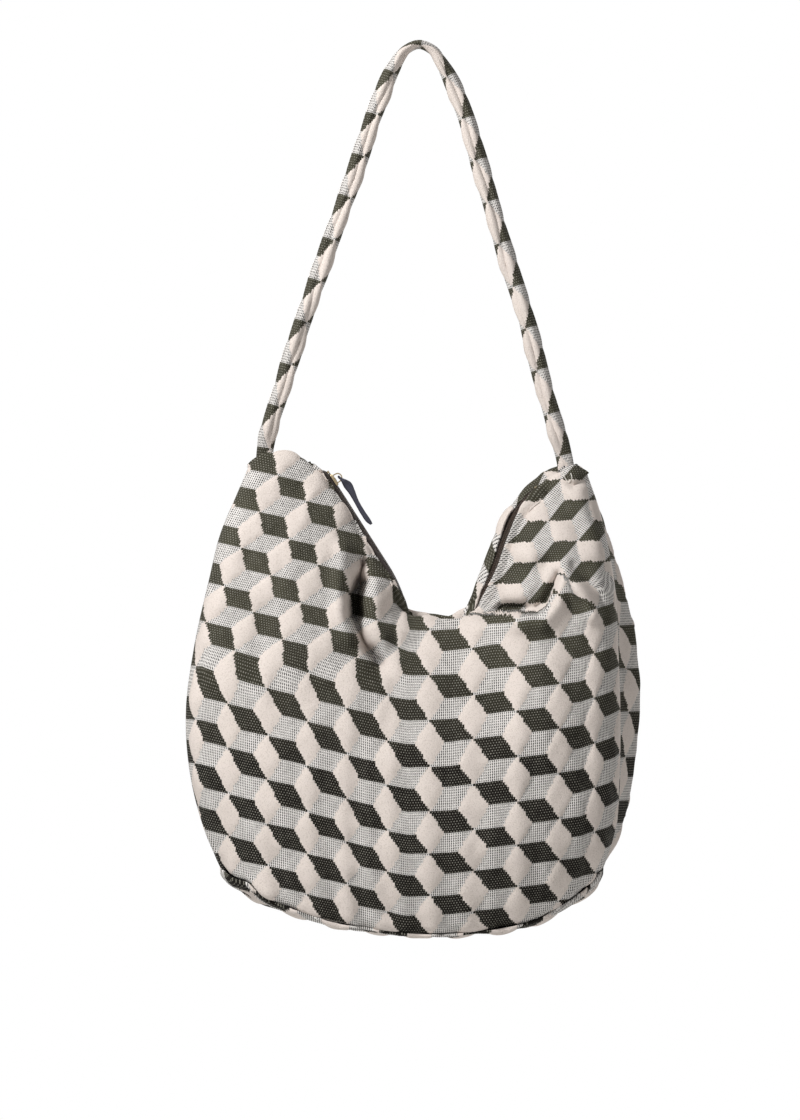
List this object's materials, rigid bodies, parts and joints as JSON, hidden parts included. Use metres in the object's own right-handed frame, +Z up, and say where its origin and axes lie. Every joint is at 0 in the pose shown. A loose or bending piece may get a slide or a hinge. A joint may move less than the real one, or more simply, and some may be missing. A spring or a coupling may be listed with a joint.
{
  "type": "handbag",
  "caption": "Slouchy cloth shoulder bag with a tumbling-block pattern, a folded shoulder strap, and a zip along its dipped top edge.",
  "frame": {"origin": "underside of the strap, midway across it, where it passes over what the bag hangs from", "axes": "+Z up, front panel towards -Y, +X to the right seen from the front"},
  "size_m": [0.403, 0.1442, 0.792],
  "materials": {
    "block_cloth": "woven jacquard with puffed cream, grey and black blocks",
    "zip_tape": "dark brown woven tape",
    "zip_teeth": "dark brown moulded coil",
    "zip_metal": "aged",
    "dark_leather": "smooth dark lace"
  },
  "bodies": {
    "root": {"front_panel": "block_cloth", "back_panel": "block_cloth", "base_panel": "block_cloth", "strap": "block_cloth", "zip_tape_front": "zip_tape", "zip_tape_back": "zip_tape", "zip_teeth_front": "zip_teeth", "zip_teeth_back": "zip_teeth", "zip_top_stop_front": "zip_metal", "zip_top_stop_back": "zip_metal", "zip_bottom_stop": "zip_metal"},
    "slider": {"zip_slider": "zip_metal"},
    "pull": {"zip_pull": "dark_leather"}
  },
  "joints": [
    {"name": "slider_slide", "type": "slide", "parent": "root", "child": "slider", "axis": [0.5384, 0, -0.8427], "range_m": [0, 0.078]},
    {"name": "pull_swing", "type": "hinge", "parent": "slider", "child": "pull", "pos_m": [-0.0711, 0, -0.37941], "axis": [0, -1, 0], "range_deg": [0, 150]}
  ]
}
